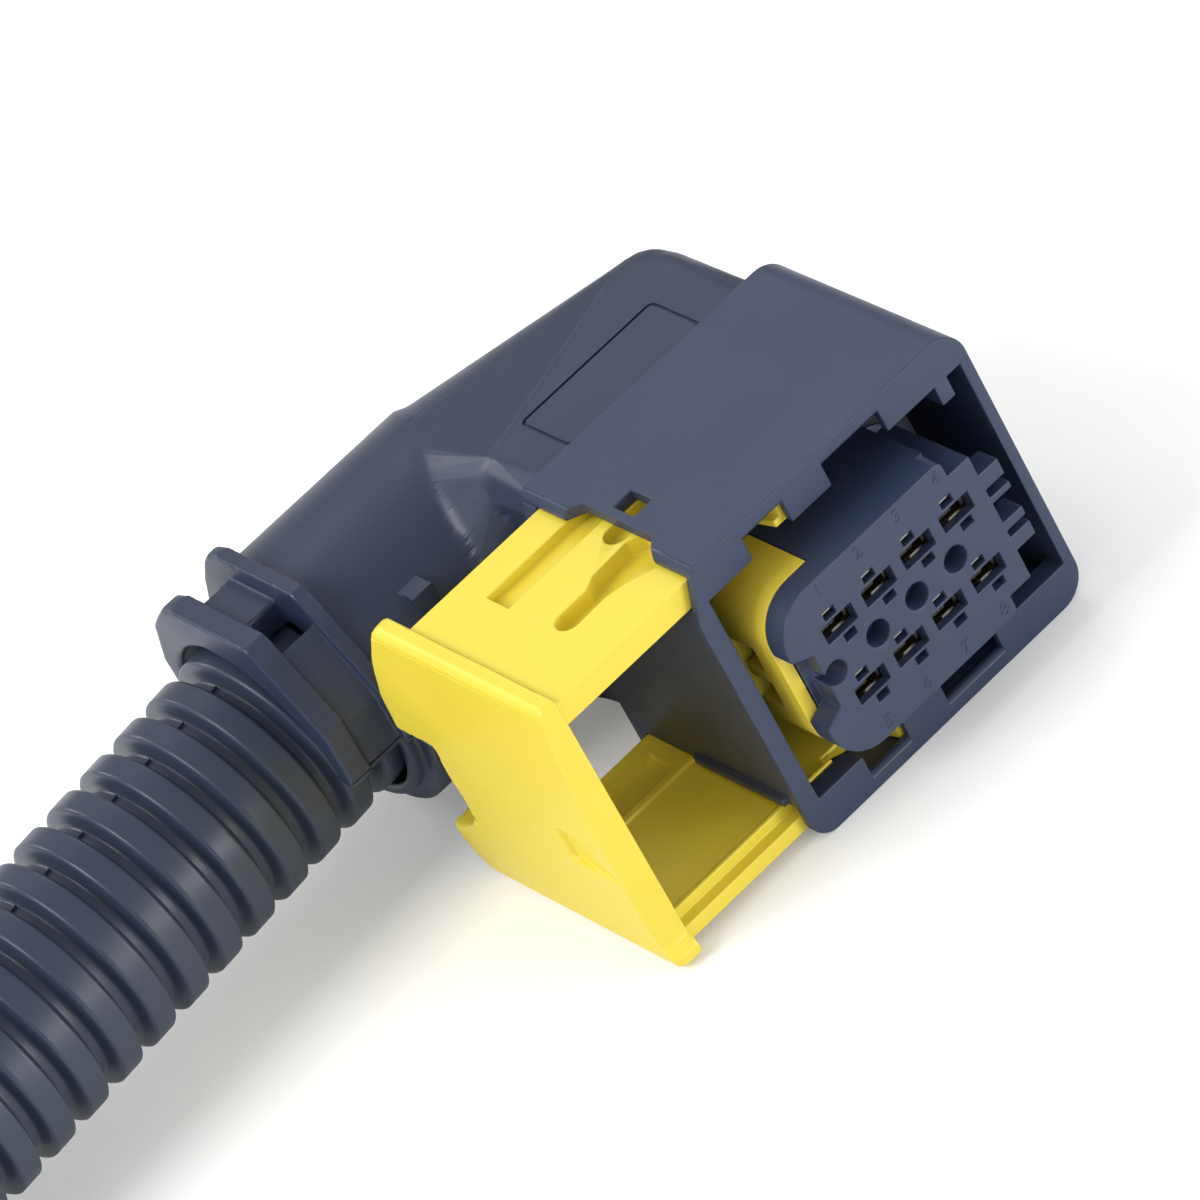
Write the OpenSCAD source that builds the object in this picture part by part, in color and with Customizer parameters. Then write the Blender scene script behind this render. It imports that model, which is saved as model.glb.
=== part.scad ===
// Sealed plug connector with a cam slide, a right-angle cable cover and a corrugated conduit.
// Millimetres, +Z up. The mating face looks along -Y and the conduit leaves along -X.
// The origin is the middle of the hood's base, where the connector rests.

/* [Hood] */
// Width of the hood
hood_w = 35.2; // [34:0.1:38]
// Height of the hood
hood_h = 33; // [32:0.1:36]
// Depth of the hood from front rim to rear edge
hood_d = 25; // [24:0.1:28]
// Thickness of the hood's left wall, on the slide's side
left_wall = 2; // [1.6:0.1:2.4]
// Thickness of the hood's right wall
right_wall = 1.2; // [0.9:0.1:1.8]
// Thickness of the top and bottom skins that the slide runs under
skin = 1.3; // [1:0.1:1.6]
// Radius of the hood's two right edges
hood_r = 3.2; // [2:0.1:4]
// Thickness of the front rim
rim_t = 1; // [0.8:0.1:1.4]
// Height of the rim's top and bottom bands
rim_band = 4; // [3.6:0.1:4.4]

/* [Contact block] */
// Distance between neighbouring contacts in a row
contact_pitch = 5; // [4.8:0.1:5.2]
// Distance between the two rows of contacts
row_gap = 7.6; // [7.2:0.1:8]
// Width of the block's face without its keys
block_w = 24.4; // [24:0.1:25]
// Height of the block's face
block_h = 18.9; // [18.4:0.1:19.6]
// How far the block's face stands out of the hood's rim
block_proud = 4; // [3:0.1:5]
// Thickness of the block's front flange
face_t = 2.7; // [2.4:0.1:3]
// Radius of the block's two left corners
block_r = 4.6; // [4:0.1:5]
// How far the coding keys stand out of the block's right side
key_out = 2.4; // [1.6:0.1:2.8]
// Diameter of the round coring holes between the rows
core_hole_d = 2.6; // [2:0.1:3]

/* [Secondary lock] */
// Wall of the lock that wraps the block's left end
lock_wall = 1.35; // [1.1:0.05:1.5]
// Length of the lock along the mating direction
lock_len = 8.2; // [7.5:0.1:8.6]
// How far the lock reaches over the block
lock_reach = 7.1; // [6.5:0.1:8]

/* [Locking slide] */
// Thickness of the slide's arms
arm_t = 2.7; // [2.5:0.1:2.9]
// Width of the slide's arms
arm_w = 21.8; // [21:0.1:22]
// Length of the arms from the end plate to their tips
arm_len = 32.4; // [32:0.1:34]
// How far the slide is pulled out at rest, which is its travel
slide_travel = 14; // [13:0.1:14.4]
// Thickness of the end plate at its middle
plate_t = 3.2; // [2.8:0.1:3.6]
// Gap left beside each face of the slide's arms
slide_gap = 0.15; // [0.1:0.05:0.2]

/* [Cable cover] */
// Wall of the cover
cover_wall = 2; // [1.6:0.1:2.4]
// Radius of the cover's round outlet
outlet_r = 14.2; // [13.8:0.1:14.4]
// Distance of the outlet's axis behind the hood's front rim
outlet_y = 44.6; // [44.6:0.1:48]
// Distance of the outlet's inner end from the hood's middle
outlet_start = 15.1; // [14:0.1:16]
// Length of the plain part of the outlet
outlet_len = 18.2; // [18:0.1:22]
// Thickness of the inner clamp flange
flange_in_t = 1.6; // [1.2:0.1:2]
// Thickness of the outer clamp flange
flange_out_t = 2.5; // [2:0.1:3]
// Distance between the two clamp flanges
flange_gap = 4; // [3.5:0.1:5]

/* [Conduit] */
// Outside diameter of the corrugated conduit
conduit_d = 21.2; // [20.6:0.1:21.4]
// Length of the conduit
conduit_len = 130; // [128:1:150]
// Distance between neighbouring corrugations
corrugation = 4.6; // [4.2:0.1:5.2]
// Depth of a corrugation
corrugation_h = 1.7; // [1.2:0.1:2]
// Wall of the conduit
conduit_wall = 0.8; // [0.6:0.1:1]
// Angle in degrees at which the conduit turns towards the mating side
conduit_yaw = 3.8; // [2:0.1:4.4]

/* [Wires] */
// Diameter of a wire over its insulation
wire_d = 2; // [1.6:0.1:2.1]
// Distance between neighbouring wires in the conduit
wire_step = 2.3; // [2.2:0.1:2.4]
// Radius at which the inmost wires turn into the outlet
wire_bend = 8; // [6:0.1:9]

/* [Hidden] */
$fn = 64;
columns = 4;
rows = 2;
mid_z = hood_h / 2;
left_x = -hood_w / 2;
right_x = hood_w / 2;
inner_left = left_x + left_wall;
inner_right = right_x - right_wall;
// The slide's channels lie between the skins and the collar
channel_h = arm_t + 2 * slide_gap;
collar_z0 = skin + channel_h;
arm_front = rim_t + slide_gap;
// Guide lip behind the rim's lower band, and the step in the lower arm that clears it
lip_y = rim_t + 1.4;
lip_z = collar_z0 - 1.1;
arm_rear = arm_front + arm_w;
bulkhead_y0 = 15;
bulkhead_t = 3;
bulkhead_y1 = bulkhead_y0 + bulkhead_t;
collar_t = 1.6;
// Contact block
face_y = -block_proud;
flange_y = face_y + face_t;
block_x0 = -block_w / 2 - 1.2;
block_x1 = block_w / 2 - 1.15;
shoulder_out = 2.7;
main_x1 = block_x1 - shoulder_out;
shoulder_h = 15;
lock_gap = 0.1;
core_inset = lock_wall + lock_gap;
lock_y0 = flange_y + lock_gap;
lock_y1 = lock_y0 + lock_len;
lock_x1 = block_x0 + lock_reach;
// Contacts and their cavities
cavity_w = 3.7;
cavity_h = 2.9;
entry_w = 3.75;
entry_h = 1.9;
front_wall = 1.1;
tower_w = 3 * contact_pitch + 7.2;
tower_h = row_gap + 6.4;
tower_y1 = hood_d + 2;
// Gap round the tower in the bulkhead
block_gap = 0.15;
core_shift = 0.3;
seal_d = 4.4;
seal_y0 = bulkhead_y1 + 0.5;
seal_len = 7;
// Slide
plate_in_x = left_x - slide_travel - 0.9;
plate_out_x = plate_in_x - plate_t;
plate_z0 = 0.15;
plate_z1 = hood_h - 0.8;
plate_arc = 140;
plate_front = rim_t - 0.3;
ear_y = 30.1;
arm_tip = plate_in_x + arm_len;
// Cover
base_x0 = left_x + 1.8;
base_x1 = right_x - 2.2;
base_z0 = 1;
base_z1 = hood_h - 1;
base_r = 3;
corner_y = 38.4;
corner_r = 4.6;
// Corner post on the slide's side, where the box ends and the outlet flares out
side_y = 32.4;
side_r = 3;
// Angle at which the outlet's inner end is mitred
mitre = 22;
// Split between the cover's halves, a hair above the outlet's axis so that it meets no facet's corner
split_z = mid_z + 0.01;
spigot_len = 4.5;
spigot_gap = 0.15;
spigot_x = inner_right - collar_t - 0.4;
clamp_gap = 0.55;
// Step where the blended body meets the round outlet
outlet_step = 0.3;
clamp_r = conduit_d / 2 + clamp_gap;
outlet_x1 = -outlet_start - outlet_len;
flange_in_x0 = outlet_x1 - flange_in_t;
flange_out_x1 = flange_in_x0 - flange_gap;
flange_out_x0 = flange_out_x1 - flange_out_t;
barrel_r = clamp_r + 1.7;
// Conduit
conduit_r = conduit_d / 2;
conduit_in = 8.4;
conduit_out = conduit_len - conduit_in;
pivot_x = (flange_in_x0 + flange_out_x1) / 2;
floor_gap = 0.03;
conduit_pitch_angle = asin((mid_z - conduit_r - floor_gap) / conduit_out);
crests = floor(conduit_len / corrugation);
function wire_row(i) = floor(i / columns);
function contact_x(i) = (i % columns - (columns - 1) / 2) * contact_pitch;
function contact_z(i) = mid_z + (0.5 - wire_row(i)) * row_gap;
// Wires run a little off the outlet's middle, and the outer ones turn wider
wire_shift = 0.3;
wire_fan = 2.65;
function wire_y(i) = outlet_y + wire_shift + (i % columns - (columns - 1) / 2) * wire_step;
function bend_r(i) = wire_bend + (i % columns) * wire_fan;

// Sets what is drawn from the front rim back so that the middle of the hood's base is the origin
module seated() { translate([0, -hood_d / 2, 0]) children(); }

// Extrudes an outline drawn in X and Z from y0 to y1
module along_y(y0, y1) { translate([0, y1, 0]) rotate([90, 0, 0]) linear_extrude(y1 - y0) children(); }

// Extrudes an outline drawn in Y and Z from x0 to x1
module along_x(x0, x1) { translate([x0, 0, 0]) rotate([90, 0, 90]) linear_extrude(x1 - x0) children(); }

// Box between two corners
module box(low, high) { translate(low) cube(high - low); }

// Repeats a shape above the middle plane below it
module both_arms() { children(); translate([0, 0, hood_h]) mirror([0, 0, 1]) children(); }

// Rectangle with one radius for its two low corners and one for its two high corners in the first axis
module rounded(low, high, r_low, r_high) {
    a = max(r_low, 0.01);
    b = max(r_high, 0.01);
    polygon([[low.x + a, low.y], [high.x - b, low.y], [high.x, low.y + b], [high.x, high.y - b],
             [high.x - b, high.y], [low.x + a, high.y], [low.x, high.y - a], [low.x, low.y + a]]);
    for (y = [low.y + a, high.y - a]) translate([low.x + a, y]) circle(a);
    for (y = [low.y + b, high.y - b]) translate([high.x - b, y]) circle(b);
}

// Hood's outline seen from the mating side, with its bevelled top-left corner
module hood_outline() {
    bevel_x = 2.1;
    bevel_z = 5.6;
    difference() {
        rounded([left_x, 0], [right_x, hood_h], 2.4, hood_r);
        polygon([[left_x - 1, hood_h - bevel_z], [left_x, hood_h - bevel_z], [left_x + bevel_x - 0.4, hood_h - 0.6],
                 [left_x + bevel_x, hood_h], [left_x + bevel_x, hood_h + 1], [left_x - 1, hood_h + 1]]);
    }
}

// Face of the contact block: main field, stepped right shoulder, coding keys and the notched left end
module block_face() {
    key_z = [[3.3, 5.1], [1.6, 2.3], [-1.8, -0.8], [-4.2, -2.6]];
    notch_x = 2.2;
    difference() {
        union() {
            rounded([block_x0, -block_h / 2], [main_x1, block_h / 2], block_r, 0.8);
            translate([main_x1 - 1, -shoulder_h / 2]) square([shoulder_out + 1, shoulder_h]);
            for (k = key_z) translate([block_x1 - 0.5, k[0]]) square([key_out + 0.5, k[1] - k[0]]);
        }
        polygon([[block_x0 - 1, 4.6], [block_x0 + 0.6, 3.9], [block_x0 + notch_x, 3.2],
                 [block_x0 + notch_x, -3.2], [block_x0 + 0.6, -3.9], [block_x0 - 1, -4.6]]);
        translate([-columns / 2 * contact_pitch, 0]) circle(d = core_hole_d - 0.2);
        translate([block_x0, -0.7]) square([notch_x + 1, 1.4]);
    }
}

// Block behind its front flange, stepped in at the left for the secondary lock
module block_core() {
    rounded([block_x0 + core_inset, -block_h / 2 + core_inset], [main_x1, block_h / 2 - core_inset], block_r - core_inset, 0.8);
    translate([lock_x1 + lock_gap, -block_h / 2]) square([main_x1 - lock_x1 - lock_gap, block_h]);
    translate([main_x1 - 1, -shoulder_h / 2]) square([shoulder_out + 1, shoulder_h]);
}

// Seat of the interface seal on the block
module seal_land(grow = 0) {
    rounded([block_x0 + core_inset + 0.3 - grow, -block_h / 2 + 0.6 - grow], [block_x1 + 0.6 + grow, block_h / 2 - 0.6 + grow],
            4 + grow, 4 + grow);
}

// One contact cavity: tab entry, two probe windows, contact chamber and seal bore
module cavity() {
    window_w = 1.4;
    window_h = 0.9;
    along_y(face_y - 1, face_y + front_wall + 0.1) translate([-entry_w / 2, -entry_h / 2]) square([entry_w, entry_h]);
    along_y(face_y - 1, face_y + front_wall + 0.1) translate([-1.1, entry_h / 2 + 0.3]) square([window_w, window_h]);
    along_y(face_y - 1, face_y + front_wall + 0.1) translate([-0.25, -entry_h / 2 - 0.3 - window_h]) square([window_w, window_h]);
    along_y(face_y + front_wall, seal_y0) translate([-cavity_w / 2, -cavity_h / 2]) square([cavity_w, cavity_h]);
    along_y(seal_y0 - 0.01, tower_y1 + 1) circle(d = seal_d + 0.1);
}

// Runs a shape at every contact position
module at_contacts() { for (i = [0 : rows * columns - 1]) translate([contact_x(i), 0, contact_z(i)]) children(); }

// Top or bottom skin's edge over the slide, cut back in steps
module skin_edge_cut() {
    lip = 1.6;
    back = 3.3;
    translate([0, 0, hood_h - skin - 0.01]) linear_extrude(skin + 1)
        polygon([[left_x - 1, rim_t], [left_x + lip, rim_t], [left_x + lip, 5.6], [left_x + back, 7.3], [left_x + back, 17.4],
                 [left_x + lip, 18.6], [left_x + lip, hood_d + 1], [left_x - 1, hood_d + 1]]);
}

// Windows that let the mate's cam posts pass the rim, with an eased front edge
module post_windows() {
    windows = [[-10, -5], [0, 7.2]];
    sill = skin + 0.45;
    ease = 0.4;
    for (w = windows) both_arms() along_x(w[0], w[1]) polygon([
        [-1, sill - ease], [0, sill - ease], [ease, sill], [lip_y + 0.3, sill], [lip_y + 0.3, rim_band + 0.5],
        [-1, rim_band + 0.5]]);
}

// Hood with its walls, rim and rear collar
module hood() {
    difference() {
        along_y(0, hood_d) hood_outline();
        // Room round the block behind the rim
        box([inner_left, rim_t, collar_z0], [inner_right, bulkhead_y0, hood_h - collar_z0]);
        both_arms() box([inner_left, rim_t, skin], [inner_right, bulkhead_y0, collar_z0 + 0.1]);
        // Opening in the rim
        box([inner_left, -1, rim_band], [inner_right, rim_t + 0.1, hood_h - rim_band]);
        // Channels of the slide, open to the left
        both_arms() box([left_x - 1, arm_front - slide_gap, skin], [inner_right, arm_rear + slide_gap, collar_z0]);
        // Pocket behind the bulkhead for the cover's spigot
        box([inner_left, bulkhead_y1, collar_z0 + collar_t], [spigot_x + 0.3, hood_d + 1, hood_h - collar_z0 - collar_t]);
        // Passage of the contact block's tower through the bulkhead
        translate([0, 0, mid_z]) along_y(bulkhead_y0 - 1, bulkhead_y1 + 1) tower_outline(block_gap);
        post_windows();
        both_arms() skin_edge_cut();
        // Moulding window over the slide's detent slot
        box([left_x + 4.3, 11, hood_h - skin - 0.1], [left_x + 6.6, 14, hood_h + 1]);
    }
    // Guide lip of the lower arm, between the windows
    difference() {
        box([inner_left - 0.1, rim_t - 0.1, lip_z], [inner_right + 0.1, lip_y, rim_band]);
        post_windows();
    }
    // Coding rib under the top rim, clear of the slide's arm
    box([13.1, 0, hood_h - rim_band - 2.2], [14.7, bulkhead_y0 + 0.1, hood_h - collar_z0]);
    box([13.1, 0, hood_h - collar_z0 - 0.1], [14.7, rim_t, hood_h - rim_band + 0.2]);
    // Bead along the foot of the left wall
    box([left_x - 0.5, 2, collar_z0], [left_x + 0.1, 15, collar_z0 + 0.9]);
}

module plug_housing() color([0.2, 0.22, 0.27]) hood();

// Outline of the block's rear tower, which passes through the bulkhead
module tower_outline(grow = 0) {
    rounded([-tower_w / 2 - grow, -tower_h / 2 - grow], [tower_w / 2 + grow, tower_h / 2 + grow], 1.5 + grow, 1.5 + grow);
}

// Contact block: keyed front flange, core, seal land seated on the bulkhead, and rear tower
module contact_block() color([0.2, 0.22, 0.27]) {
    difference() {
        translate([0, 0, mid_z]) {
            along_y(face_y, flange_y) block_face();
            along_y(flange_y - 0.1, lock_y1 + 0.4) block_core();
            along_y(lock_y1 + 0.3, bulkhead_y0) seal_land();
            along_y(bulkhead_y0 - 0.1, tower_y1) tower_outline();
        }
        at_contacts() cavity();
        // Coring holes between the rows
        for (i = [1 : columns - 1]) translate([(i - columns / 2) * contact_pitch + core_shift, 0, mid_z])
            along_y(face_y - 1, flange_y - 0.2) circle(d = core_hole_d);
        // Slot of the secondary lock's tongue
        box([block_x0, lock_y0 + 2 - lock_gap, mid_z - 0.7 - lock_gap],
            [8.2 + lock_gap, lock_y0 + 6 + lock_gap, mid_z + 0.7 + lock_gap]);
    }
}

// C-shaped slide that wraps the block's left end and keeps the contacts from backing out
module secondary_lock() color([0.95, 0.83, 0.2]) {
    slot_h = 7.2;
    difference() {
        translate([0, 0, mid_z]) along_y(lock_y0, lock_y1) difference() {
            intersection() {
                rounded([block_x0, -block_h / 2], [main_x1, block_h / 2], block_r, 0.8);
                translate([block_x0 - 1, -block_h]) square([lock_reach + 1, 2 * block_h]);
            }
            rounded([block_x0 + lock_wall, -block_h / 2 + lock_wall], [main_x1, block_h / 2 - lock_wall], block_r - lock_wall, 0.8);
        }
        // Slot for a screwdriver
        box([block_x0 - 1, lock_y0 + 3.2, mid_z - slot_h / 2], [block_x0 + lock_wall + 0.05, lock_y0 + 6.4, mid_z + slot_h / 2]);
    }
    // Tongue between the two rows of contacts
    box([block_x0 + lock_wall - 0.2, lock_y0 + 2, mid_z - 0.7], [8.2, lock_y0 + 6, mid_z + 0.7]);
    box([block_x0, lock_y0 + 2, mid_z - 0.7], [block_x0 + lock_wall, lock_y0 + 6, mid_z + 0.7]);
}

// Ring seal on the block, with three lips
module interface_seal() color([0.22, 0.23, 0.25]) {
    y0 = lock_y1 + 0.6;
    y1 = bulkhead_y0 - 0.1;
    lip = (y1 - y0) / 6;
    translate([0, 0, mid_z]) difference() {
        union() {
            along_y(y0, y1) seal_land(1);
            for (i = [0 : 2]) along_y(y0 + 2 * i * lip + lip / 2, y0 + 2 * i * lip + 1.5 * lip) seal_land(1.7);
        }
        along_y(y0 - 1, y1 + 1) seal_land(0.02);
    }
}

// One arm of the slide: outer face with guide groove, cam slots and detent slot
module slide_arm() {
    z0 = skin + slide_gap;
    cam_d = 1.9;
    cam_w = 2.7;
    cam_x = plate_in_x + 8;
    cam_y = arm_front + 7.35;
    cam_step = 14.1;
    detent_d = 2.6;
    difference() {
        box([plate_in_x - 0.5, arm_front, z0], [arm_tip, arm_rear, z0 + arm_t]);
        // Straight guide groove
        box([plate_in_x + 6.4, arm_front + 14.3, z0 - 1], [arm_tip + 1, arm_front + 17.6, z0 + 1.2]);
        // Cam slots, from a round end to a wide mouth at the front edge
        for (k = [0, 1]) translate([cam_x + k * cam_step, cam_y, z0 - 1]) linear_extrude(cam_d + 1) {
            circle(d = cam_w);
            polygon([[0, cam_w / 2], [3.5, cam_w / 2], [4.9, 2.15], [9.3, 2.4], [10.8, 1.6], [12.4, -1.8], [18.5, -5],
                     [19.5, -cam_y], [13, -cam_y], [8.5, -3.1], [5.7, -1.75], [3.5, -1.2], [0, -cam_w / 2]]);
        }
        // Way through the arm at the first mouth, where the mate's post enters
        translate([cam_x, cam_y, z0 - 1]) linear_extrude(arm_t + 2)
            polygon([[13.6, -cam_y - 1], [18.8, -cam_y - 1], [17.9, -5.2], [16.6, -4.4], [12.6, -4.4]]);
        // Detent slot under the hood's window
        translate([left_x + 2.8, arm_front + 11.5, z0 - 1]) {
            cylinder(d = detent_d, h = 2.4);
            translate([0, -detent_d / 2, 0]) cube([8, detent_d, 2.4]);
        }
    }
}

// Cuts in the lower arm's inner face: step at the guide lip, groove and two shallow reliefs
module lower_arm_cuts() {
    z1 = skin + slide_gap + arm_t;
    ridge_y = 16;
    box([plate_in_x, arm_front - 1, lip_z - slide_gap], [arm_tip + 1, lip_y + slide_gap, z1 + 1]);
    box([plate_in_x, lip_y + 0.7, z1 - 0.6], [arm_tip + 1, lip_y + 1.2, z1 + 1]);
    box([plate_in_x, lip_y + 1.1, z1 - 0.3], [arm_tip + 1, ridge_y, z1 + 1]);
    box([plate_in_x, ridge_y + 1, z1 - 0.5], [left_x - 1.6, arm_rear - 2.2, z1 + 1]);
}

// Outline of the end plate seen along X, with its two ears and the finger notch between them
module plate_outline() {
    difference() {
        polygon([[plate_front, 3], [plate_front - 0.9, 1.8], [plate_front - 0.9, 0.9], [plate_front, plate_z0],
                 [ear_y - 2.6, plate_z0], [ear_y - 0.3, plate_z0 + 2], [ear_y + 0.4, 4.6], [ear_y, 7.2], [ear_y - 1.2, 9],
                 [ear_y - 5.6, 9], [ear_y - 5.6, 19], [ear_y - 0.1, 19], [ear_y - 0.1, 23.5],
                 [ear_y - 1.5, 27.8], [ear_y - 3.6, plate_z1 - 0.6], [ear_y - 4.6, plate_z1], [plate_front, plate_z1]]);
        translate([ear_y + 0.3, 12.6]) circle(6.2);
    }
}

// Section of the end plate: bowed outer face that rolls into a rounded top and bottom edge
module plate_section() {
    edge_r = 1.1;
    bow_z = 13.5;
    function bow(z) = plate_out_x + plate_arc - sqrt(pow(plate_arc, 2) - pow(z - bow_z, 2));
    intersection() {
        translate([plate_out_x, plate_z0 + edge_r]) square([plate_t, plate_z1 - plate_z0 - 2 * edge_r]);
        translate([plate_out_x + plate_arc, bow_z]) circle(plate_arc, $fn = 360);
    }
    for (z = [plate_z0 + edge_r, plate_z1 - edge_r]) {
        middle = bow(z) + edge_r + 0.05;
        translate([middle, z]) circle(edge_r);
        translate([middle, z - edge_r]) square([plate_in_x - middle, 2 * edge_r]);
    }
}

module locking_slide() color([0.97, 0.86, 0.25]) {
    recess_w = 8;
    recess_angle = 6;
    difference() {
        both_arms() slide_arm();
        lower_arm_cuts();
    }
    difference() {
        intersection() {
            along_x(plate_out_x - 1, plate_in_x) plate_outline();
            along_y(plate_front - 2, ear_y + 2) plate_section();
        }
        // Shallow pry recess in the outer face, deepest at its rear end
        translate([plate_out_x - 2, plate_front - 0.6, 11.8]) rotate([0, 0, -recess_angle]) cube([2, recess_w, 4.2]);
    }
}

// Rectangle with its four corners cut in two flats each
module eased(low, high, r) {
    c = 0.29 * r;
    polygon([[low.x + r, low.y], [high.x - r, low.y], [high.x - c, low.y + c], [high.x, low.y + r],
             [high.x, high.y - r], [high.x - c, high.y - c], [high.x - r, high.y], [low.x + r, high.y],
             [low.x + c, high.y - c], [low.x, high.y - r], [low.x, low.y + r], [low.x + c, low.y + c]]);
}

// Rounded post of the cover: three stacked cylinders that ease its top and bottom edges
module cover_post(r, h) {
    cylinder(r = r, h = h - 2 * base_r, center = true, $fn = 40);
    cylinder(r = r - base_r / 3, h = h - 0.6 * base_r, center = true, $fn = 40);
    cylinder(r = r - base_r * 0.8, h = h, center = true, $fn = 40);
}

// Places the two rear posts of the cover
module cover_posts(inset, h) {
    translate([base_x1 - corner_r - inset / 2, corner_y - inset / 2, mid_z]) cover_post(corner_r - inset / 2, h);
    translate([base_x0 + side_r + inset, side_y - inset / 2, mid_z]) cover_post(side_r - inset / 4, h);
}

// Lays a shape along the outlet's axis, starting x0 to the left of the hood's middle
module at_outlet(x0) { translate([-x0, outlet_y, mid_z]) rotate([0, -90, 0]) children(); }

// Body of the cable cover: the box behind the hood, then the flare into the mitred end of the outlet
module cover_body(inset) {
    h = base_z1 - base_z0 - 2 * inset;
    flare_drop = 0.3;
    hull() {
        along_y(hood_d - (inset > 0 ? 0.02 : 0), hood_d + 1.2)
            eased([base_x0 + inset, base_z0 + inset], [base_x1 - inset, base_z1 - inset], base_r);
        cover_posts(inset, h);
    }
    hull() {
        translate([0, -inset / 2, 0]) cover_posts(inset, h - flare_drop);
        intersection() {
            at_outlet(0) cylinder(r = outlet_r - inset - outlet_step, h = 3 * outlet_start, $fn = 72);
            translate([-outlet_start, outlet_y, mid_z]) rotate([0, 0, -mitre]) cube([0.4, 4 * outlet_r, 4 * outlet_r], center = true);
        }
    }
}

// Round outlet, mitred at its inner end and cut square x1 to the left of the hood's middle
module outlet_tube(r, x1) {
    difference() {
        at_outlet(0) cylinder(r = r, h = x1);
        translate([1 - outlet_start, outlet_y, mid_z]) rotate([0, 0, -mitre])
            translate([0, -2 * outlet_r, -2 * outlet_r]) cube([3 * outlet_r, 4 * outlet_r, 4 * outlet_r]);
    }
}

// Clamp flange's outline above the split, seen along X
module flange_outline(reach, top) {
    translate([outlet_y, mid_z]) polygon([
        [-reach, -1], [-reach, 6], [-7.2, top], [5, top], [6.6, top - 0.5], [7.9, top - 1.7], [10.2, 10.8],
        [reach - 0.7, 5.5], [reach - 0.7, -1]]);
}

// Clamp on the upper half: two flanges with a flat-topped body and a window between them
module clamp_upper() {
    body_top = 13.6;
    difference() {
        union() {
            along_x(flange_in_x0, outlet_x1) flange_outline(outlet_r - 0.3, outlet_r + 1.5);
            along_x(flange_out_x0, flange_out_x1) flange_outline(outlet_r - 0.9, outlet_r + 0.5);
            along_x(flange_out_x1 - 0.1, flange_in_x0 + 0.1) translate([outlet_y, mid_z]) {
                circle(barrel_r);
                polygon([[-barrel_r, -1], [-barrel_r, 5.6], [-7.6, body_top], [3.8, body_top], [3.8, -1]]);
            }
        }
        box([flange_out_x1, outlet_y - 8.2, mid_z + 2], [flange_in_x0, outlet_y - 3.2, hood_h + 2]);
    }
}

// Whole cable cover before it is split into its two halves
module cover() {
    difference() {
        union() {
            cover_body(0);
            along_y(hood_d - spigot_len, hood_d + 0.1)
                rounded([-spigot_x + spigot_gap, collar_z0 + collar_t + spigot_gap],
                        [spigot_x - spigot_gap, hood_h - collar_z0 - collar_t - spigot_gap], 1, 1);
            outlet_tube(outlet_r, outlet_start + outlet_len + 0.1);
            intersection() {
                clamp_upper();
                box([-60, -10, mid_z - 0.5], [0, 90, 2 * hood_h]);
            }
            // Collar of the lower half round the conduit
            at_outlet(-outlet_x1 - 0.1) cylinder(r = clamp_r + 1.2, h = flange_in_t + 0.1);
            // Catch on the front of the outlet
            box([-27, outlet_y - outlet_r + 1.8, mid_z + 7.4], [-24.6, outlet_y - outlet_r + 7, mid_z + 10]);
        }
        cover_body(cover_wall);
        along_y(hood_d - spigot_len - 1, hood_d + 1)
            rounded([-spigot_x + collar_t, collar_z0 + 2 * collar_t + 0.2], [spigot_x - collar_t, hood_h - collar_z0 - 2 * collar_t - 0.2], 1, 1);
        outlet_tube(outlet_r - cover_wall, outlet_start + outlet_len - 2);
        at_outlet(outlet_start + outlet_len - 4) cylinder(r = clamp_r, h = 20);
    }
}

// Fine groove that frames the label panel on the cover's flat top
module label_groove() {
    depth = 0.25;
    width = 0.35;
    low = [-9.2, hood_d + 0.8];
    high = [8, hood_d + 8.4];
    translate([0, 0, base_z1 - depth]) linear_extrude(1) difference() {
        rounded(low, high, 0.8, 0.8);
        rounded(low + [width, width], high - [width, width], 0.5, 0.5);
    }
}

module cover_upper() color([0.19, 0.21, 0.26]) difference() {
    intersection() {
        cover();
        box([-60, -10, split_z], [60, 90, 2 * hood_h]);
    }
    label_groove();
}

module cover_lower() color([0.19, 0.21, 0.26]) intersection() {
    cover();
    box([-60, -10, -hood_h], [60, 90, split_z]);
}

// Turns a shape drawn along +Z to the conduit's sloping axis
module conduit_turn() { rotate([0, 0, conduit_yaw]) rotate([0, -90 - conduit_pitch_angle, 0]) children(); }

// Corrugated tube, cut square at both ends
module conduit() color([0.16, 0.18, 0.22]) {
    root_r = conduit_r - corrugation_h;
    crest = corrugation * 0.56;
    flank = corrugation * 0.1;
    first = (conduit_len - crests * corrugation) / 2;
    outer = [for (k = [0 : crests - 1]) let (s = first + k * corrugation + (corrugation - crest) / 2)
        each [[root_r, s - flank], [conduit_r - 0.25, s], [conduit_r, s + 0.3], [conduit_r, s + crest - 0.3], [conduit_r - 0.25, s + crest], [root_r, s + crest + flank]]];
    inner = [for (p = outer) [p.x - conduit_wall, p.y]];
    translate([pivot_x, outlet_y, mid_z]) conduit_turn() translate([0, 0, -conduit_in]) rotate_extrude() polygon(concat(
        [[root_r, 0]], outer, [[root_r, conduit_len], [root_r - conduit_wall, conduit_len]],
        [for (i = [len(inner) - 1 : -1 : 0]) inner[i]], [[root_r - conduit_wall, 0]]));
}

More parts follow.
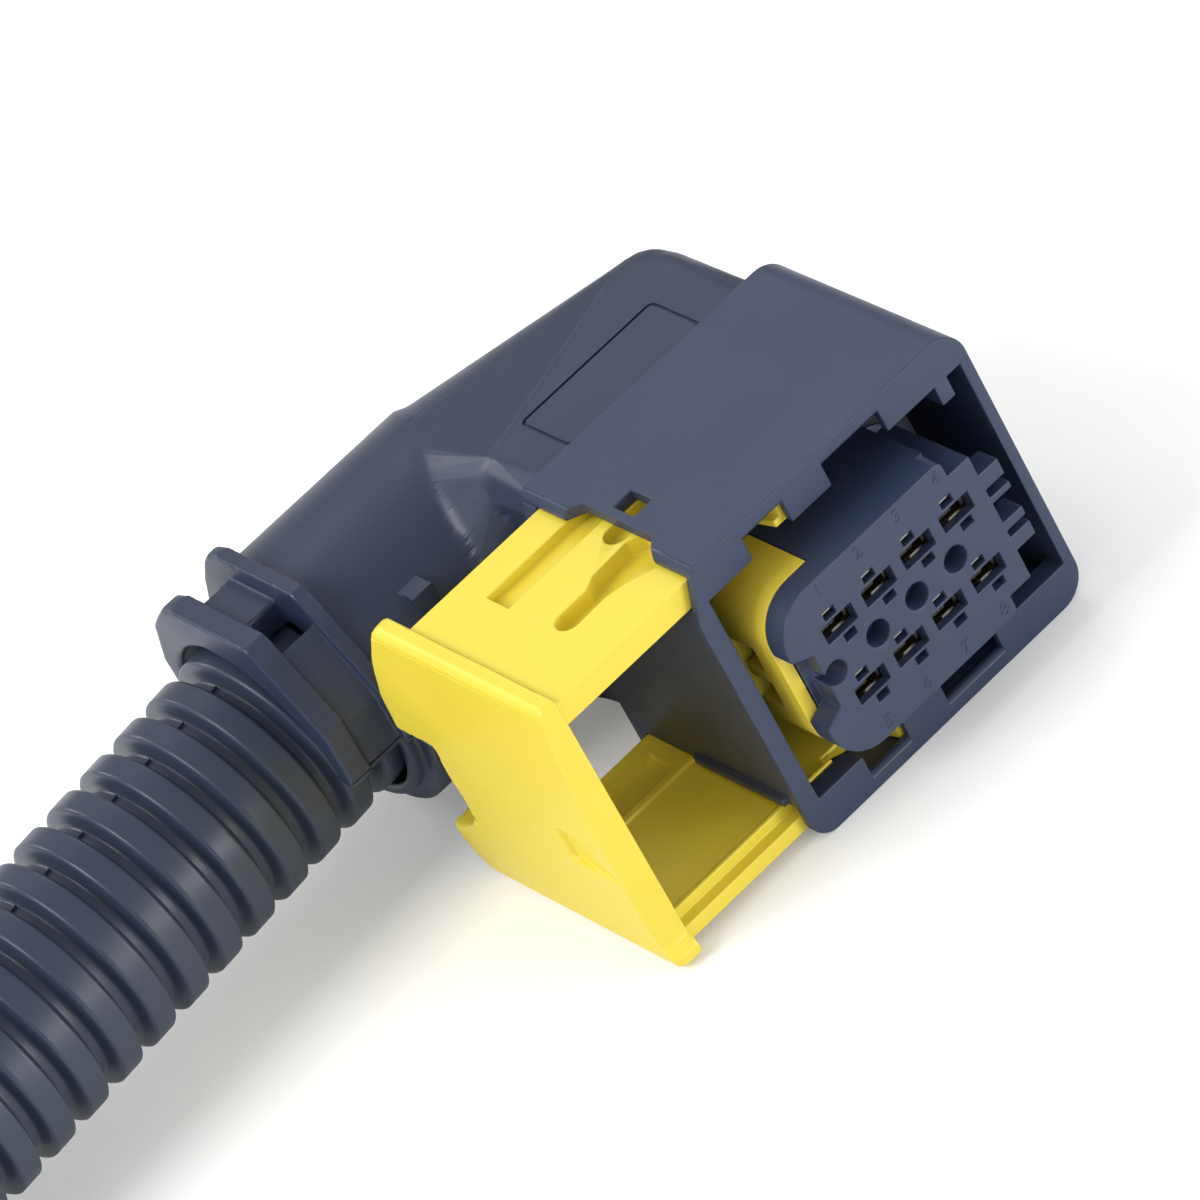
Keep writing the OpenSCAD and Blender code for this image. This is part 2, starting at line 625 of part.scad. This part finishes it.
// Stamped receptacle contact: box with two spring lips, neck and crimp barrel
module contact(i) color([0.78, 0.74, 0.62]) translate([contact_x(i), 0, contact_z(i)]) {
    y0 = face_y + front_wall + 0.25;
    box_len = 11;
    half_w = 1.7;
    half_h = 1.3;
    metal = 0.35;
    difference() {
        box([-half_w, y0, -half_h], [half_w, y0 + box_len, half_h]);
        box([-half_w + metal, y0 - 1, -half_h + metal], [half_w - metal, y0 + box_len - metal, half_h - metal]);
    }
    // Spring lips that grip the tab
    for (s = [-1, 1]) box([-half_w + metal - 0.01, y0 + 0.3, s * 0.5 - 0.12], [0.4, y0 + 6, s * 0.5 + 0.12]);
    box([-0.9, y0 + box_len - 0.1, -half_h], [0.9, y0 + box_len + 2.2, -half_h + 0.5]);
    translate([0, y0 + box_len + 2, 0]) rotate([-90, 0, 0]) difference() {
        cylinder(d = wire_d + 0.5, h = 4);
        translate([0, 0, -1]) cylinder(d = wire_d + 0.04, h = 6);
    }
}

// Ribbed seal on the wire, in the rear of its cavity
module wire_seal(i) color([0.3, 0.5, 0.62]) translate([contact_x(i), seal_y0 + 0.2, contact_z(i)]) rotate([-90, 0, 0])
    rotate_extrude() polygon(concat(
        [[wire_d / 2 + 0.02, 0]],
        [for (k = [0 : 2]) each [[seal_d / 2 - 0.5, k * seal_len / 3], [seal_d / 2, k * seal_len / 3 + 0.7],
                                 [seal_d / 2, k * seal_len / 3 + 1.4], [seal_d / 2 - 0.5, (k + 1) * seal_len / 3]]],
        [[wire_d / 2 + 0.02, seal_len]]));

// Wire from its contact round the cover's bend and out through the conduit, in one sloping plane
module wire(i) color([0.1, 0.1, 0.12]) {
    y0 = face_y + front_wall + 0.25 + 13;
    r = bend_r(i);
    turn_y = wire_y(i) - r;
    run = contact_x(i) - r - pivot_x + conduit_out;
    // The bend is a hair thinner, and its ends lie inside the straight runs
    lap = 0.3;
    bend_d = wire_d - 0.04;
    translate([contact_x(i), 0, contact_z(i)]) rotate([0, -conduit_pitch_angle, 0]) {
        translate([0, y0, 0]) rotate([-90, 0, 0]) cylinder(d = wire_d, h = turn_y - y0 + lap);
        translate([-r, turn_y, 0]) {
            rotate_extrude(angle = 90 + conduit_yaw) translate([r, 0]) circle(d = bend_d);
            rotate([0, 0, 90 + conduit_yaw]) translate([r, -lap, 0]) rotate([-90, 0, 0]) cylinder(d = wire_d, h = run + lap);
        }
    }
}

seated() plug_housing();
seated() contact_block();
seated() locking_slide();
seated() secondary_lock();
seated() interface_seal();
seated() cover_upper();
seated() cover_lower();
seated() conduit();
for (i = [1 : rows * columns]) {
    seated() contact(i - 1);
    seated() wire_seal(i - 1);
    seated() wire(i - 1);
}
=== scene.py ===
"""Sealed automotive plug with a yellow cam slide, a right-angle cable cover and a corrugated conduit."""

import math

import bmesh
import bpy
from mathutils import Euler, Matrix, Vector, kdtree


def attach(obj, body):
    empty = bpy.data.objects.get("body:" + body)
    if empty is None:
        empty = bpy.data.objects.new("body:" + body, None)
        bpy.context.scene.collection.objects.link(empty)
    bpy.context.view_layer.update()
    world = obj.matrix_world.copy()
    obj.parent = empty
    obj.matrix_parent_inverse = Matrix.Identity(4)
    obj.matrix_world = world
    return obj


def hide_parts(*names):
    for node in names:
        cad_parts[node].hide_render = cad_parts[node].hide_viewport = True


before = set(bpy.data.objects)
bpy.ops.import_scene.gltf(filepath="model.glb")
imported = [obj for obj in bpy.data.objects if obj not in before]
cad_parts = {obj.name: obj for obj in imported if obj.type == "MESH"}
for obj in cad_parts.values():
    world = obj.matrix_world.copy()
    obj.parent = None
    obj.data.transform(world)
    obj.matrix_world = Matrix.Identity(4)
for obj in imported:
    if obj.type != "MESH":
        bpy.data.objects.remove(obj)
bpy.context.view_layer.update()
scene = bpy.context.scene
scene.view_settings.view_transform = "Standard"
mm = 0.001
ways = range(1, 9)

# The camera stands above and to the left of the mating side, far off with a long lens,
# so that the plug is seen almost without perspective.
camera_lens = 262.755
camera_place = (-0.25523, -0.57394, 0.48499)
camera_turn = (49.71313, 23.40427, -40.94865)
camera = bpy.data.cameras.new("studio_camera")
camera.sensor_width = 36
camera.lens = camera_lens
camera.clip_end = 10
camera_stand = bpy.data.objects.new("studio_camera", camera)
camera_stand.location = camera_place
camera_stand.rotation_euler = Euler((math.radians(angle) for angle in camera_turn), "XYZ")
scene.collection.objects.link(camera_stand)
scene.camera = camera_stand

# The conduit is an extruded tube of black polyamide, corrugated so that it bends, and held by its
# grooves in the cover's clamp. It slopes down from the clamp until its cut end rests on the table.
conduit_radius = 10.6 * mm
conduit_length = 130 * mm
conduit_wall = 0.8 * mm
floor_gap = 0.03 * mm
corrugation_pitch = 4.6 * mm
corrugation_lead = 0.6 * mm
corrugation_depth = 1.7 * mm
clamp_middle = Vector((-36.9, 32.1, 16.5)) * mm
length_in_clamp = 8.4 * mm
drop = clamp_middle.z - conduit_radius - floor_gap
slope = math.asin(drop / (conduit_length - length_in_clamp))
turn = math.radians(3.8)
conduit_line = Vector((
    -math.cos(slope) * math.cos(turn),
    -math.cos(slope) * math.sin(turn),
    -math.sin(slope),
))
conduit_start = clamp_middle - conduit_line * length_in_clamp
conduit_end = conduit_start + conduit_line * conduit_length


def moulded_plastic(name, colour, shade, roughness, grain):
    """Moulded plastic with faint flow marks, a fine spark-eroded grain and a few bright specks of it."""
    material = bpy.data.materials.new(name)
    material.use_nodes = True
    nodes = material.node_tree.nodes
    links = material.node_tree.links
    surface = nodes["Principled BSDF"]
    surface.inputs["Specular IOR Level"].default_value = 0.5
    place = nodes.new("ShaderNodeTexCoord")
    flow = nodes.new("ShaderNodeTexNoise")
    flow.inputs["Scale"].default_value = 70
    flow.inputs["Detail"].default_value = 4
    links.new(place.outputs["Object"], flow.inputs["Vector"])
    tint = nodes.new("ShaderNodeMix")
    tint.data_type = "RGBA"
    tint.inputs["A"].default_value = (*shade, 1)
    tint.inputs["B"].default_value = (*colour, 1)
    links.new(flow.outputs["Fac"], tint.inputs["Factor"])
    links.new(tint.outputs["Result"], surface.inputs["Base Color"])
    speckle = nodes.new("ShaderNodeTexNoise")
    speckle.inputs["Scale"].default_value = 5200
    speckle.inputs["Detail"].default_value = 2
    links.new(place.outputs["Object"], speckle.inputs["Vector"])
    sheen = nodes.new("ShaderNodeMapRange")
    sheen.inputs["From Min"].default_value = 0.3
    sheen.inputs["From Max"].default_value = 0.7
    sheen.inputs["To Min"].default_value = roughness - 0.08
    sheen.inputs["To Max"].default_value = roughness + 0.08
    links.new(flow.outputs["Fac"], sheen.inputs["Value"])
    links.new(sheen.outputs["Result"], surface.inputs["Roughness"])
    bump = nodes.new("ShaderNodeBump")
    bump.inputs["Strength"].default_value = grain
    bump.inputs["Distance"].default_value = 0.02 * mm
    links.new(speckle.outputs["Fac"], bump.inputs["Height"])
    links.new(bump.outputs["Normal"], surface.inputs["Normal"])
    return material


conduit_black = moulded_plastic(
    "conduit_polyamide", (0.031, 0.043, 0.072), (0.025, 0.035, 0.060), roughness=0.40, grain=0.25)


def add_inputs(tree, kinds):
    """Adds named inputs to a node tree and returns their identifiers."""
    sockets = {}
    for name, kind in kinds.items():
        socket = tree.interface.new_socket(name, in_out="INPUT", socket_type="NodeSocket" + kind)
        sockets[name] = socket.identifier
    return sockets


def corrugation_tree():
    """Node tree that sweeps a circle along a straight line and pinches it at each groove."""
    tree = bpy.data.node_groups.new("corrugated_tube", "GeometryNodeTree")
    sockets = add_inputs(tree, {
        "Start": "Vector",
        "End": "Vector",
        "Radius": "Float",
        "Pitch": "Float",
        "Lead": "Float",
        "Depth": "Float",
        "Finish": "Material",
    })
    tree.interface.new_socket("Tube", in_out="OUTPUT", socket_type="NodeSocketGeometry")
    nodes = tree.nodes
    links = tree.links
    given = nodes.new("NodeGroupInput")
    result = nodes.new("NodeGroupOutput")
    line = nodes.new("GeometryNodeCurvePrimitiveLine")
    links.new(given.outputs["Start"], line.inputs["Start"])
    links.new(given.outputs["End"], line.inputs["End"])
    sampled = nodes.new("GeometryNodeResampleCurve")
    sampled.inputs["Count"].default_value = 640
    links.new(line.outputs["Curve"], sampled.inputs["Curve"])
    along = nodes.new("GeometryNodeSplineParameter")
    run = nodes.new("ShaderNodeMath")
    run.operation = "SUBTRACT"
    links.new(along.outputs["Length"], run.inputs[0])
    links.new(given.outputs["Lead"], run.inputs[1])
    turns = nodes.new("ShaderNodeMath")
    turns.operation = "DIVIDE"
    links.new(run.outputs["Value"], turns.inputs[0])
    links.new(given.outputs["Pitch"], turns.inputs[1])
    wave = nodes.new("ShaderNodeMath")
    wave.operation = "PINGPONG"
    wave.inputs[1].default_value = 0.5
    links.new(turns.outputs["Value"], wave.inputs[0])
    shoulder = nodes.new("ShaderNodeMapRange")
    shoulder.interpolation_type = "SMOOTHSTEP"
    shoulder.inputs["From Min"].default_value = 0.1
    shoulder.inputs["From Max"].default_value = 0.25
    shoulder.inputs["To Min"].default_value = 1
    shoulder.inputs["To Max"].default_value = 0
    links.new(wave.outputs["Value"], shoulder.inputs["Value"])
    groove = nodes.new("ShaderNodeMath")
    groove.operation = "MULTIPLY"
    links.new(shoulder.outputs["Result"], groove.inputs[0])
    links.new(given.outputs["Depth"], groove.inputs[1])
    radius = nodes.new("ShaderNodeMath")
    radius.operation = "SUBTRACT"
    links.new(given.outputs["Radius"], radius.inputs[0])
    links.new(groove.outputs["Value"], radius.inputs[1])
    ring = nodes.new("GeometryNodeCurvePrimitiveCircle")
    ring.inputs["Resolution"].default_value = 72
    ring.inputs["Radius"].default_value = 1
    sweep = nodes.new("GeometryNodeCurveToMesh")
    links.new(sampled.outputs["Curve"], sweep.inputs["Curve"])
    links.new(ring.outputs["Curve"], sweep.inputs["Profile Curve"])
    links.new(radius.outputs["Value"], sweep.inputs["Scale"])
    solid = nodes.new("GeometryNodeRealizeInstances")
    links.new(sweep.outputs["Mesh"], solid.inputs["Geometry"])
    finish = nodes.new("GeometryNodeSetMaterial")
    links.new(solid.outputs["Geometry"], finish.inputs["Geometry"])
    links.new(given.outputs["Finish"], finish.inputs["Material"])
    links.new(finish.outputs["Geometry"], result.inputs["Tube"])
    return tree, sockets


def grown_mesh(name, tree, values):
    """Runs a node tree on an empty object and keeps the result as a plain mesh."""
    piece = bpy.data.objects.new(name, bpy.data.meshes.new(name))
    scene.collection.objects.link(piece)
    grow = piece.modifiers.new("grow", "NODES")
    grow.node_group = tree
    for socket, value in values.items():
        grow[socket] = value
    bpy.context.view_layer.update()
    shape = bpy.data.meshes.new_from_object(piece.evaluated_get(bpy.context.evaluated_depsgraph_get()))
    piece.modifiers.remove(grow)
    piece.data = shape
    return piece


tube_tree, tube_inputs = corrugation_tree()
conduit = grown_mesh("conduit_tube", tube_tree, {
    tube_inputs["Start"]: conduit_start,
    tube_inputs["End"]: conduit_end,
    tube_inputs["Radius"]: conduit_radius,
    tube_inputs["Pitch"]: corrugation_pitch,
    tube_inputs["Lead"]: corrugation_lead,
    tube_inputs["Depth"]: corrugation_depth,
    tube_inputs["Finish"]: conduit_black,
})
for face in conduit.data.polygons:
    face.use_smooth = True
wall = conduit.modifiers.new("wall", "SOLIDIFY")
wall.thickness = conduit_wall
wall.offset = -1


# The corrugator's mould blocks meet on top of the conduit and below it, and leave a small tick in each
# groove there. The first grooves lie in the clamp and have none.
def mark_tree():
    """Node tree that sets one small block at each groove along a straight line."""
    tree = bpy.data.node_groups.new("groove_marks", "GeometryNodeTree")
    sockets = add_inputs(tree, {
        "Start": "Vector",
        "End": "Vector",
        "Count": "Int",
        "Size": "Vector",
        "Turn": "Vector",
        "Finish": "Material",
    })
    tree.interface.new_socket("Marks", in_out="OUTPUT", socket_type="NodeSocketGeometry")
    nodes = tree.nodes
    links = tree.links
    given = nodes.new("NodeGroupInput")
    result = nodes.new("NodeGroupOutput")
    row = nodes.new("GeometryNodeMeshLine")
    row.mode = "END_POINTS"
    links.new(given.outputs["Count"], row.inputs["Count"])
    links.new(given.outputs["Start"], row.inputs["Start Location"])
    links.new(given.outputs["End"], row.inputs["Offset"])
    block = nodes.new("GeometryNodeMeshCube")
    links.new(given.outputs["Size"], block.inputs["Size"])
    placed = nodes.new("GeometryNodeInstanceOnPoints")
    links.new(row.outputs["Mesh"], placed.inputs["Points"])
    links.new(block.outputs["Mesh"], placed.inputs["Instance"])
    links.new(given.outputs["Turn"], placed.inputs["Rotation"])
    solid = nodes.new("GeometryNodeRealizeInstances")
    links.new(placed.outputs["Instances"], solid.inputs["Geometry"])
    finish = nodes.new("GeometryNodeSetMaterial")
    links.new(solid.outputs["Geometry"], finish.inputs["Geometry"])
    links.new(given.outputs["Finish"], finish.inputs["Material"])
    links.new(finish.outputs["Geometry"], result.inputs["Marks"])
    return tree, sockets


tick_size = Vector((0.7, 0.12, 0.34)) * mm
tick_rise = 0.12 * mm
tick_radius = conduit_radius - corrugation_depth + tick_rise
grooves_in_clamp = 3
first_tick = corrugation_lead + grooves_in_clamp * corrugation_pitch
tick_count = 25
last_tick = first_tick + (tick_count - 1) * corrugation_pitch
upward = (Vector((0, 0, 1)) - conduit_line * conduit_line.z).normalized()
ticks_tree, ticks_inputs = mark_tree()
for side, name in ((1, "parting_ticks_top"), (-1, "parting_ticks_below")):
    tick_row = grown_mesh(name, ticks_tree, {
        ticks_inputs["Start"]: conduit_start + conduit_line * first_tick + upward * side * tick_radius,
        ticks_inputs["End"]: conduit_start + conduit_line * last_tick + upward * side * tick_radius,
        ticks_inputs["Count"]: tick_count,
        ticks_inputs["Size"]: tick_size,
        ticks_inputs["Turn"]: Vector(conduit_line.to_track_quat("X", "Z").to_euler()),
        ticks_inputs["Finish"]: conduit_black,
    })
    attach(tick_row, "plug")

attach(conduit, "plug")
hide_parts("conduit")

# The wires are stranded copper in thin black insulation, cut off flush with the conduit's end.
wire_black = moulded_plastic("wire_insulation", (0.02, 0.02, 0.024), (0.014, 0.014, 0.017), 0.38, 0.1)
for way in ways:
    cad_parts["wire_" + str(way)].data.materials[0] = wire_black


# The hood is one moulding in black glass-filled polyamide with a fine grain. Its rim carries the windows
# for the mate's cam posts, and its two skins guide the slide.
crease_degrees = 7
rounded_angle = math.radians(24)
sharp_angle = math.radians(50)
weld_distance = 0.001 * mm
split_rounds = 8


def within(vertex, low, high):
    """Tells whether a vertex lies in a box given in millimetres."""
    return all(low[axis] * mm <= vertex.co[axis] <= high[axis] * mm for axis in range(3))


def box_part(shape, low, high):
    """Vertices of a mesh that lie in a box, and the edges that touch them."""
    inside = [v for v in shape.verts if within(v, low, high)]
    return inside, list(dict.fromkeys(edge for v in inside for edge in v.link_edges))


def relaxed(shape, low, high, step, reach, keep, rounds):
    """Splits the faces along the creases in a box and eases these into blends. Edges over keep stay."""
    shape.normal_update()
    crease_points = []
    for edge in box_part(shape, low, high)[1]:
        if crease_degrees < math.degrees(edge.calc_face_angle(math.pi)) <= keep:
            first, last = (v.co for v in edge.verts)
            count = math.ceil(edge.calc_length() / (step * mm))
            crease_points += [first.lerp(last, i / count) for i in range(count + 1)]
    near = kdtree.KDTree(len(crease_points))
    for number, point in enumerate(crease_points):
        near.insert(point, number)
    near.balance()
    for _ in range(split_rounds):
        long_edges = []
        for edge in box_part(shape, low, high)[1]:
            length = edge.calc_length()
            middle = (edge.verts[0].co + edge.verts[1].co) / 2
            if length > step * mm and near.find(middle)[2] < reach * mm + length / 2:
                long_edges.append(edge)
        if not long_edges:
            break
        bmesh.ops.subdivide_edges(shape, edges=long_edges, cuts=1)
        bmesh.ops.triangulate(shape, faces=[face for face in shape.faces if len(face.verts) > 3])
    shape.normal_update()
    inside, edges = box_part(shape, low, high)
    crisp = set()
    for edge in edges:
        if math.degrees(edge.calc_face_angle(math.pi)) > keep:
            crisp.update(edge.verts)
    free = [v for v in inside if v not in crisp and near.find(v.co)[2] < reach * mm]
    for _ in range(rounds):
        bmesh.ops.smooth_vert(
            shape, verts=free, factor=0.5, use_axis_x=True, use_axis_y=True, use_axis_z=True)


def softened(node, name, body, material, edge, blend=(), plain=()):
    """Copy of a solid with rounded edges and, in some boxes, blended creases. Edges in plain boxes stay."""
    shape = bmesh.new()
    shape.from_mesh(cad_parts[node].data)
    bmesh.ops.remove_doubles(shape, verts=shape.verts, dist=weld_distance)
    for box in blend:
        relaxed(shape, **box)
    shape.normal_update()
    rounded_edges = shape.edges.layers.float.new("bevel_weight_edge")
    for line in shape.edges:
        bend = line.calc_face_angle(math.pi)
        blended = any(within(v, box["low"], box["high"]) for box in blend for v in line.verts)
        kept = any(within(v, *box) for box in plain for v in line.verts)
        line[rounded_edges] = float(bend > rounded_angle and not blended and not kept)
        line.smooth = not (blended and bend > sharp_angle)
    mesh = bpy.data.meshes.new(name)
    shape.to_mesh(mesh)
    shape.free()
    mesh.materials.clear()
    mesh.materials.append(material)
    for face in mesh.polygons:
        face.use_smooth = True
    piece = bpy.data.objects.new(name, mesh)
    scene.collection.objects.link(piece)
    rounding = piece.modifiers.new("rounded_edges", "BEVEL")
    rounding.width = edge
    rounding.segments = 2
    rounding.limit_method = "WEIGHT"
    rounding.use_clamp_overlap = False
    rounding.loop_slide = False
    flats = piece.modifiers.new("flat_faces", "WEIGHTED_NORMAL")
    flats.weight = 60
    flats.keep_sharp = True
    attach(piece, body)
    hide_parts(node)


housing_black = moulded_plastic("housing_polyamide", (0.036, 0.050, 0.100), (0.029, 0.041, 0.084), 0.42, 0.5)
softened("plug_housing", "hood", "plug", housing_black, 0.14 * mm)

# The contact block is a second moulding of the same polyamide, pushed into the hood from the front until
# its land sits on the bulkhead. It holds the contacts and carries the coding keys.
block_black = moulded_plastic("block_polyamide", (0.034, 0.048, 0.097), (0.027, 0.039, 0.081), 0.42, 0.5)
step_corners = (((7.4, -14.2, 24.9), (8.6, -13.6, 26.2)), ((7.4, -14.2, 6.8), (8.6, -13.6, 8.1)))
softened(
    "contact_block", "contact_carrier", "plug", block_black, 0.12 * mm, plain=step_corners)

# Low raised digits on the block's face count its cavities from 1 to 8.
digit_size = 1.9 * mm
digit_relief = 0.05 * mm
contact_pitch = 5
first_contact = -7.8
block_face = -16.5
mid_height = 16.5
digit_row = 8.2
row_length = 4
digits = bmesh.new()
face_to_front = Matrix.Rotation(math.radians(90), 4, "X")
for way in ways:
    letter = bpy.data.curves.new("cavity_digit", "FONT")
    letter.body = str(way)
    letter.size = digit_size
    letter.extrude = digit_relief
    letter.align_x = "CENTER"
    letter.align_y = "CENTER"
    row_side = 1 if way <= row_length else -1
    column = (way - 1) % row_length
    digit_x = column * contact_pitch + first_contact
    digit_z = mid_height + row_side * digit_row
    place = Vector((digit_x, block_face, digit_z)) * mm
    relief = bpy.data.meshes.new_from_object(bpy.data.objects.new("cavity_digit", letter))
    relief.transform(Matrix.Translation(place) @ face_to_front)
    digits.from_mesh(relief)
digit_mesh = bpy.data.meshes.new("cavity_digits")
digits.to_mesh(digit_mesh)
digits.free()
digit_mesh.materials.append(block_black)
cavity_digits = bpy.data.objects.new("cavity_digits", digit_mesh)
scene.collection.objects.link(cavity_digits)
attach(cavity_digits, "plug")

# The cable cover is two shells of the same polyamide, joined at mid height. They plug into the hood's
# rear, turn the wires to the left and clamp the conduit between two flanges.
# The cover's colour is darker than the hood's. Part of that is its own tone, and part is painted shade for
# the tube's shaded front.
cover_black_painted_shade = moulded_plastic("cover_polyamide_painted_shade", (0.028, 0.039, 0.078), (0.022, 0.032, 0.065), 0.40, 0.5)
cover_edge = 0.12 * mm
top_blend = {
    "low": (-9.7, 13.4, 16.6),
    "high": (20, 50, 40),
    "step": 0.8,
    "reach": 2.4,
    "keep": 60,
    "rounds": 14,
}
neck_blend = {
    "low": (-24, 13.4, 16.6),
    "high": (-9.6, 50, 40),
    "step": 0.4,
    "reach": 1.4,
    "keep": 120,
    "rounds": 14,
}
clamp_blend = {
    "low": (-50, 10, 16.6),
    "high": (-30.5, 60, 40),
    "step": 0.4,
    "reach": 0.9,
    "keep": 180,
    "rounds": 5,
}
softened(
    "cover_upper", "cover_shell_upper", "plug", cover_black_painted_shade, cover_edge,
    blend=(top_blend, neck_blend, clamp_blend))
low_blend = {**top_blend, "low": (-9.7, 13.4, -5), "high": (20, 50, 16.4)}
low_neck = {**neck_blend, "low": (-24, 13.4, -5), "high": (-9.6, 50, 16.4)}
low_clamp = {**clamp_blend, "low": (-50, 10, -5), "high": (-30.5, 60, 16.4)}
spigot_corner = ((-13.5, 10, 0), (-11, 13.3, 1.6))
softened(
    "cover_lower", "cover_shell_lower", "plug", cover_black_painted_shade, cover_edge,
    blend=(low_blend, low_neck, low_clamp), plain=(spigot_corner,))

# The cam slide is one moulding in yellow polyester, smooth and a little glossy.
# It runs in channels under the hood's skins and is shown pulled out.
slide_yellow = moulded_plastic("slide_polyester", (0.81, 0.66, 0.060), (0.76, 0.60, 0.048), 0.36, 0.15)
plate_edges = {
    "low": (-40, -40, -5),
    "high": (-32.7, 40, 40),
    "step": 0.5,
    "reach": 1.5,
    "keep": 180,
    "rounds": 7,
}
softened(
    "locking_slide", "cam_slide", "slide", slide_yellow, 0.15 * mm, blend=(plate_edges,))

# The secondary lock is a small yellow clip of the same polyester round the block's left end.
lock_yellow = moulded_plastic("lock_polyester", (0.76, 0.60, 0.06), (0.70, 0.54, 0.05), 0.42, 0.15)
softened("secondary_lock", "lock_clip", "plug", lock_yellow, 0.1 * mm)

# The seals are soft silicone: one ring on the block and one plug on each wire.
# The ring's colour is darker and bluer than its own: painted shade for where it sits deep inside the hood.
ring_silicone_painted_shade = moulded_plastic("ring_silicone_painted_shade", (0.018, 0.021, 0.034), (0.013, 0.016, 0.027), 0.6, 0.1)
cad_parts["interface_seal"].data.materials[0] = ring_silicone_painted_shade
plug_silicone = moulded_plastic("plug_silicone", (0.2, 0.34, 0.46), (0.16, 0.28, 0.4), 0.6, 0.1)
for way in ways:
    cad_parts["wire_seal_" + str(way)].data.materials[0] = plug_silicone


# The contacts are stamped from copper alloy strip, tin plated, and clipped into their cavities.
# Only their spring lips show, as glints in the dark. Their tin is coloured darker than tin is, as painted
# shade for the deep cavities.
def tinned_metal(name):
    """Tin plate on copper alloy, slightly warm, with fine rolling lines, its two tones darkened as painted
    shade.
    """
    material = bpy.data.materials.new(name)
    material.use_nodes = True
    nodes = material.node_tree.nodes
    links = material.node_tree.links
    surface = nodes["Principled BSDF"]
    surface.inputs["Metallic"].default_value = 1
    place = nodes.new("ShaderNodeTexCoord")
    stretch = nodes.new("ShaderNodeMapping")
    stretch.inputs["Scale"].default_value = (900, 60, 900)
    links.new(place.outputs["Object"], stretch.inputs["Vector"])
    lines = nodes.new("ShaderNodeTexNoise")
    lines.inputs["Scale"].default_value = 4
    links.new(stretch.outputs["Vector"], lines.inputs["Vector"])
    tint = nodes.new("ShaderNodeMix")
    tint.data_type = "RGBA"
    # Both tones are darker than tin: painted shade for contacts that sit deep in their cavities.
    tint.inputs["A"].default_value = (0.42, 0.38, 0.30, 1)
    tint.inputs["B"].default_value = (0.55, 0.52, 0.45, 1)
    links.new(lines.outputs["Fac"], tint.inputs["Factor"])
    links.new(tint.outputs["Result"], surface.inputs["Base Color"])
    polish = nodes.new("ShaderNodeMapRange")
    polish.inputs["To Min"].default_value = 0.2
    polish.inputs["To Max"].default_value = 0.4
    links.new(lines.outputs["Fac"], polish.inputs["Value"])
    links.new(polish.outputs["Result"], surface.inputs["Roughness"])
    return material


contact_tin_painted_shade = tinned_metal("contact_tin_painted_shade")
for way in ways:
    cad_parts["contact_" + str(way)].data.materials[0] = contact_tin_painted_shade

# The studio is a white table that runs on behind the plug under an even sky, as in a light tent. The
# camera sees both as white, reflections see a dimmer sky, and the table keeps the plug's shadow.
table_mesh = bpy.data.meshes.new("studio_table")
table_mesh.from_pydata([(-3, -3, 0), (3, -3, 0), (3, 3, 0), (-3, 3, 0)], [], [(0, 1, 2, 3)])
table = bpy.data.objects.new("studio_table", table_mesh)
scene.collection.objects.link(table)


def by_ray(tree, lighting, seen, mirrored):
    """Strength with one value for lighting, one for what the camera sees and one for reflections."""
    path = tree.nodes.new("ShaderNodeLightPath")
    total = None
    for ray, value in (("Is Camera Ray", seen), ("Is Glossy Ray", mirrored)):
        step = tree.nodes.new("ShaderNodeMath")
        step.operation = "MULTIPLY_ADD"
        step.inputs[1].default_value = value - lighting
        tree.links.new(path.outputs[ray], step.inputs[0])
        if total:
            tree.links.new(total, step.inputs[2])
        else:
            step.inputs[2].default_value = lighting
        total = step.outputs["Value"]
    return total


table_white = bpy.data.materials.new("table_white")
table_white.use_nodes = True
table_top = table_white.node_tree.nodes["Principled BSDF"]
table_top.inputs["Base Color"].default_value = (0.85, 0.85, 0.85, 1)
table_top.inputs["Roughness"].default_value = 0.9
table_top.inputs["Emission Color"].default_value = (1, 1, 1, 1)
table_glow = by_ray(table_white.node_tree, lighting=0, seen=0.18, mirrored=0)
table_white.node_tree.links.new(table_glow, table_top.inputs["Emission Strength"])
table_mesh.materials.append(table_white)
sky = bpy.data.worlds.new("studio_sky")
sky.use_nodes = True
sky_light = sky.node_tree.nodes["Background"]
sky_light.inputs["Color"].default_value = (1, 1, 1, 1)
sky_strength = by_ray(sky.node_tree, lighting=0.85, seen=1, mirrored=0.4)
sky.node_tree.links.new(sky_strength, sky_light.inputs["Strength"])
scene.world = sky


def soft_lamp(name, place, aim, size, power):
    """Square soft lamp at a place, turned to a point."""
    lamp = bpy.data.lights.new(name, "AREA")
    lamp.size = size
    lamp.energy = power
    stand = bpy.data.objects.new(name, lamp)
    stand.location = place
    stand.rotation_euler = (Vector(aim) - Vector(place)).to_track_quat("-Z", "Y").to_euler()
    scene.collection.objects.link(stand)


soft_lamp("front_lamp", (0.40, -0.78, 0.08), (0.0, 0.0, 0.015), 0.3, 3.8)
soft_lamp("side_lamp", (-0.65, 0.10, 0.60), (-0.02, 0.0, 0.015), 0.4, 4.2)
soft_lamp("back_lamp", (-0.25, 0.80, 0.42), (-0.01, 0.0, 0.015), 0.3, 1.6)
soft_lamp("top_lamp", (0.35, 0.55, 0.70), (-0.01, 0.0, 0.015), 0.3, 0.6)
